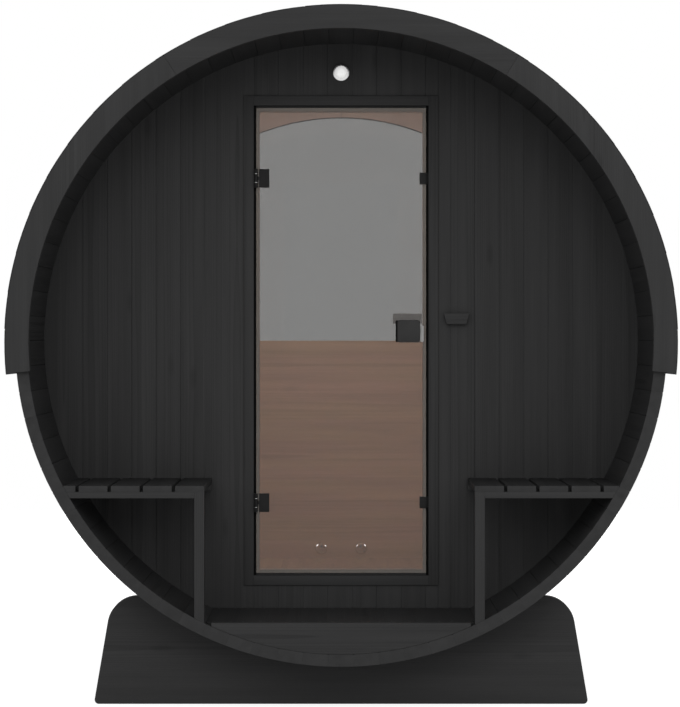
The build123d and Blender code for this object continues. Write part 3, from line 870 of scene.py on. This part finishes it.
# Rear wall: level boards below the axis and two arched boards round the half-moon window
window_radius, arch_edge, arch_joint = 1.005, 0.002, 0.01
rear_wall = Batch()
for number in range(ceil(wall_radius / board_pitch)):
    outline = clipped_box(-wall_radius, wall_radius, max(-wall_radius, -(number + 1) * board_pitch),
                          -number * board_pitch, wall_radius)
    if len(outline) > 2:
        rear_wall.add(axial(outline, rear_wall_front, rear_wall_back, (0, wall_joint)), "x",
                      rear_wall_seed + number, inside_paint)
rear_wall.piece("boards_rear", (black, natural), ["rear_wall"])
for side_name, start in (("right", 0), ("left", 90)):
    outline = ring_sector(window_radius, wall_radius, start + arch_joint, 90 - 2 * arch_joint)
    arch = Batch().add(axial(outline, rear_wall_front, rear_wall_back, arch_edge), "x", arch_seed + start,
                       inside_paint)
    arch.piece(f"arch_board_{side_name}", (black, arch_wood), [f"rear_arch_{side_name}"])


# Door hinges: leaf, clamp plate and knuckle on the door, knuckles, pin and leg on the jamb
hinge_lead = 0.0085
hinge_x, hinge_y = pane_low.x, frame_low.y - hinge_lead
hinge_low, hinge_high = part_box("door_hinges")
hinge_height, knuckle_height, knuckle_gap = 0.068, 0.0174, 0.0015
knuckle_radius, pin_radius = 0.0060, 0.0035
leaf_left, leaf_right, clamp_left = hinge_x + 0.0108, hinge_x + 0.0478, hinge_x + 0.020
leaf_thickness, leaf_corner, leaf_edge = 0.006, 0.0015, 0.0009
web_inset, web_start, web_lap, web_front, web_back = 0.028, 0.003, 0.002, 0.0055, 0.001
leg, leg_clear, leg_edge = (light_low, light_low + 0.003), 0.001, 0.0004
washer_lip, washer_edge = 0.0006, 0.0003
gasket = 0.0004
door_side, frame_side, washers = Batch(), Batch(), Batch()
for bottom in (hinge_low.z, hinge_high.z - hinge_height):
    top = bottom + hinge_height
    knuckle_top, knuckle_bottom = bottom + knuckle_height, top - knuckle_height
    door_side.add(block(leaf_left, leaf_right, pane_low.y - leaf_thickness, pane_low.y, bottom, top,
                        leaf_edge, leaf_corner))
    door_side.add(block(clamp_left, leaf_right, pane_high.y + gasket, pane_high.y + leaf_thickness, bottom,
                        top, leaf_edge, leaf_corner))
    door_side.add(round_bar(hinge_x, hinge_y, knuckle_top + knuckle_gap, knuckle_bottom - knuckle_gap,
                            knuckle_radius))
    door_side.add(block(hinge_x + web_start, leaf_left + web_lap, pane_low.y - web_front,
                        pane_low.y - web_back, bottom + web_inset, top - web_inset, leg_edge))
    frame_side.add(round_bar(hinge_x, hinge_y, bottom, top, pin_radius, sides=24))
    frame_side.add(block(*leg, hinge_y + knuckle_radius + leg_clear, stop_face, bottom, top, leg_edge))
    for start in (bottom, knuckle_bottom):
        frame_side.add(round_bar(hinge_x, hinge_y, start, start + knuckle_height, knuckle_radius))
        frame_side.add(block(*leg, hinge_y, stop_face, start, start + knuckle_height, leg_edge))
    for start in (knuckle_top, knuckle_bottom - knuckle_gap):
        washers.add(round_bar(hinge_x, hinge_y, start, start + knuckle_gap, knuckle_radius + washer_lip,
                              edge=washer_edge))
door_side.piece("hinge_leaves", (black_metal,), ["door_hinges"], "black_metal", "door")
frame_side.piece("hinge_knuckles", (black_metal,), ["frame_hinges"], "black_metal")
washers.piece("hinge_washers", (silver,), (), "hoop_steel")


# Outer handle: a rounded square block on a stem, with a near-black strip along its left
handle_low, handle_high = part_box("door_handle")
handle_back, handle_corner, stem_radius = handle_low.y + 0.026, 0.010, 0.014
strip_out, strip_in, strip_inset, strip_corner = 0.0055, 0.006, 0.001, 0.005
strip_front, strip_back = handle_low.y + 0.004, handle_low.y + 0.020
handle = Batch()
handle.add(block(handle_low.x, handle_high.x, handle_low.y, handle_back, handle_low.z, handle_high.z,
                 (0.003, 0.001), handle_corner, 3))
handle.add(round_bar((handle_low.x + handle_high.x) / 2, (handle_low.z + handle_high.z) / 2, handle_back,
                     pane_low.y, stem_radius, "y"))
handle.piece("handle_block", (black_handle,), ["door_handle"], "black_handle", "door")
strip = Batch().add(block(handle_low.x - strip_out, handle_low.x + strip_in, strip_front, strip_back,
                          handle_low.z + strip_inset, handle_high.z - strip_inset, 0.0015, strip_corner))
strip.piece("handle_edge", (rubber_and_shade,), (), "black_handle", "door")

# Inner handle: a plate behind the glass, a grip along its top and a bright bar down its side
plate_low, plate_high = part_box("handle_plate")
grip_low, grip_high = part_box("handle_grip")
plate_left, plate_right = handle_low.x + 0.006, plate_high.x - 0.0095
bar_inset, bar_width, bar_drop, bar_thickness, grip_corner = 0.001, 0.0135, 0.019, 0.003, 0.006
corners = [(plate_left, plate_low.z), (plate_right, plate_low.z), (plate_right, grip_low.z),
           (plate_high.x, grip_low.z), (plate_high.x, plate_high.z), (plate_low.x, plate_high.z),
           (plate_low.x, grip_low.z), (plate_left, grip_low.z)]
outline = rounded_polygon(corners, [0.002, 0.002, 0.001, 0.002, 0.006, 0.006, 0.003, 0.001])
plate = Batch().add(prism(outline, plate_low.y + gasket, plate_high.y, "y", 0.0006))
plate.piece("inner_plate", (plate_grey,), ["handle_plate"], "brushed_plate", "door")
bar_left = handle_high.x + bar_inset
bar = Batch().add(block(bar_left, bar_left + bar_width, pane_low.y - bar_thickness, pane_low.y,
                        handle_low.z + bar_inset, handle_high.z - bar_drop, (0.0012, 0), grip_corner, 3))
bar.piece("handle_bar", (bar_metal,), (), "brushed_plate", "door")
grip = Batch().add(block(grip_low.x, grip_high.x, grip_low.y, grip_high.y, grip_low.z, grip_high.z,
                         (0.0005, 0.005), grip_corner, 3), "x", grip_seed)
grip.piece("inner_grip", (natural,), ["handle_grip"], "natural_timber", "door")

# Catches on the right jamb, and thin plates on the glass in front of them
catch_low, catch_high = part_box("door_catches")
catch_height, catch_corner, catch_edge = 0.042, 0.002, 0.0006
strike_thickness, strike_inset = 0.0015, 0.0005
catches, strikes = Batch(), Batch()
for bottom in (catch_low.z, catch_high.z - catch_height):
    top = bottom + catch_height
    catches.add(block(catch_low.x, catch_high.x, catch_low.y, stop_face, bottom, top, catch_edge,
                      catch_corner))
    catches.add(block(catch_low.x, catch_high.x - stop_lap, stop_face, catch_high.y, bottom, top, 0.001))
    strikes.add(block(catch_low.x, pane_high.x - strike_inset, pane_low.y - strike_thickness, pane_low.y,
                      bottom, top, (catch_edge, 0), catch_corner))
catches.piece("door_magnets", (black_metal,), ["door_catches"], "black_metal")
strikes.piece("catch_plates", (black_metal,), (), "black_metal", "door")


# Porch lamp: a ring and a fluted dome
base_low, base_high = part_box("lamp_base")
dome_low, dome_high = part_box("lamp_glass")
lamp_z = (base_low.z + base_high.z) / 2
lamp_radius, lamp_edge, dome_radius = 0.030, 0.0022, 0.0252
lamp_ring = Batch().add(round_bar(0, lamp_z, base_low.y, base_high.y, lamp_radius, "y", lamp_edge, 64))
lamp_ring.piece("lamp_rim", (ring_metal,), ["lamp_base"], "lamp_ring")
lamp_dome = Batch().add(dome(0, lamp_z, dome_high.y, dome_high.y - dome_low.y, dome_radius, 0.97, 128, 14,
                             fullness=0.6, flutes=16, flute_depth=0.045))
lamp_dome.piece("lamp_dome", (frosted,), ["lamp_glass"], "frosted_glass")

# Block on the wall beside the door
block_low, block_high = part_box("wall_block")
block_taper, block_corner = 0.011, 0.003
corners = [(block_low.x + block_taper, block_low.z), (block_high.x - block_taper, block_low.z),
           (block_high.x, block_high.z), (block_low.x, block_high.z)]
outline = rounded_polygon(corners, [block_corner] * 4)
wall_block = Batch().add(prism(outline, block_low.y, block_high.y, "y", (0.0015, 0.0005), 3), "x",
                         block_seed)
wall_block.piece("door_block", (black,), ["wall_block"])

# Chrome caps low on the rear wall
cap_low, cap_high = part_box("wall_caps")
cap_radius, cap_z = (cap_high.z - cap_low.z) / 2, (cap_high.z + cap_low.z) / 2
caps = Batch()
for x in (cap_low.x + cap_radius, cap_high.x - cap_radius):
    caps.add(dome(x, cap_z, cap_high.y, cap_high.y - cap_low.y, cap_radius, 0.96, 48, 12))
caps.piece("chrome_domes", (chromed,), ["wall_caps"], "chrome_cap")


# Bolts through the hoops' lugs
hoop_inset, lug_middle = 0.340, 0.0175
bolt_radius, bolt_low, bolt_high, bolt_end = 0.004, -0.030, 0.034, 0.0006
nut_radius, nut_thickness, nut_start = 0.0075, 0.006, 0.0165
ring_radius, ring_thickness = 0.0095, 0.0014
tensioner = radians(-60)
along_hoop = Vector((-sin(tensioner), 0, cos(tensioner)))
outward = Vector((cos(tensioner), 0, sin(tensioner)))
bolts = Batch()


def turned_bar(middle, sides, radius, low, high):
    """A bar through the lugs: its axis runs along the hoop."""
    rings = []
    for at, size in ((low, 0.9), (low + bolt_end, 1.0), (high - bolt_end, 1.0), (high, 0.9)):
        ring = []
        for angle in turns(sides):
            ring.append(tuple(middle + along_hoop * at + outward * (radius * size * cos(angle))
                              + Vector((0, radius * size * sin(angle), 0))))
        rings.append(ring)
    return loft(rings)


for hoop_y in (front_y + hoop_inset, 0.0, rear_y - hoop_inset):
    middle = Vector((0, hoop_y, axis_height)) + outward * (barrel_radius + lug_middle)
    bolts.add(turned_bar(middle, 24, bolt_radius, bolt_low, bolt_high))
    for start in (-nut_start - nut_thickness, nut_start):
        bolts.add(turned_bar(middle, 6, nut_radius, start, start + nut_thickness))
    for start in (-0.0168, 0.0154):
        bolts.add(turned_bar(middle, 32, ring_radius, start, start + ring_thickness))
bolts.piece("hoop_bolts", (silver,), (), "hoop_steel")


# Materials of the nodes that show as they are
for name, material in (
    ("door_glass", tinted_glass), ("rear_window", clear_glass), ("hoops", hoop_steel),
    ("roof_boards_left", roof_wood), ("roof_boards_right", roof_wood), ("floor_bearers", floor_wood),
):
    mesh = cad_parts[name].data
    mesh.materials.clear()
    mesh.materials.append(material)
    mesh.polygons.foreach_set("material_index", [0] * len(mesh.polygons))


# Studio lights
def area_light(name, place, aim, width, height, power, glossy=False, spread=180):
    """A soft light that the camera doesn't see. A glossy one shows in reflections alone."""
    data = bpy.data.lights.new(name, "AREA")
    data.shape = "RECTANGLE"
    data.size, data.size_y, data.energy = width, height, power
    data.spread = radians(spread)
    made = linked(name, data)
    made.location = place
    made.rotation_euler = (Vector(aim) - Vector(place)).to_track_quat("-Z", "Y").to_euler()
    made.visible_camera = made.visible_transmission = False
    made.visible_glossy, made.visible_diffuse = glossy, not glossy


for name, side in (("front", -1), ("rear", 1)):
    area_light(f"{name}_soft", (0.0, side * 10.0, 5.0), (0, 0, 0.8), 5.0, 4.0, 220)
for name, side in (("left", -1), ("right", 1)):
    area_light(f"{name}_soft", (side * 9.0, 0.6, 3.4), (0, 0, 1.3), 3.0, 4.0, 80)
area_light("top_soft", (0.0, 0.3, 8.0), (0, 0.3, 0), 4.0, 3.0, 40)
area_light("cabin_front", (0, -0.55, 1.7), (0, 1.1, 1.72), 0.5, 0.6, 14)
area_light("cabin_top", (0, 0.2, 2.25), (0, 0.3, 0.3), 1.2, 1.2, 3.5)
for side in (-1, 1):
    area_light(f"cap_light_{side}", (side * 0.85, 0.98, 0.85), (0, 1.1, 0.37), 0.2, 0.35, 0.4, True, 70)


# Background and floor: white where the camera, a reflection or a pane sees them
world = Nodes("studio", bpy.data.worlds, "Background")
world.set(Color=(1, 1, 1, 1), Strength=world.fit(world.seen(), 0.0, 1.0, 0.96, 1.0))
scene.world = world.owner

floor_half = 8.0
floor_corners = [(x * floor_half, y * floor_half, 0) for x, y in ((-1, -1), (1, -1), (1, 1), (-1, 1))]
floor_mesh = bpy.data.meshes.new("studio_floor")
floor_mesh.from_pydata(floor_corners, [], [(0, 1, 2, 3)])
studio_floor = linked("studio_floor", floor_mesh)
ground = Nodes("studio_floor")
ground.set(Base_Color=(0.60, 0.60, 0.60, 1), Roughness=0.9, Specular_IOR_Level=0.0)
distance = ground.node("VectorMath", {0: ground.position()}, operation="LENGTH").outputs["Value"]
glow = ground.node("Emission", {
    "Color": (1, 1, 1, 1), "Strength": ground.fit(distance, 1.6, 3.2, 0.86, 1.0)})
glossy = ground.node("LightPath").outputs["Is Glossy Ray"]
shade = ground.node("BsdfDiffuse", {
    "Color": ground.times((1, 1, 1), ground.fit(glossy, 0.0, 1.0, 0.32, 0.0))})
both = ground.node("AddShader", {0: glow.outputs[0], 1: shade.outputs[0]})
ground.surface(ground.seen(), ground.shader.outputs[0], both.outputs[0])
floor_mesh.materials.append(ground.owner)

scene.view_settings.view_transform = "Standard"
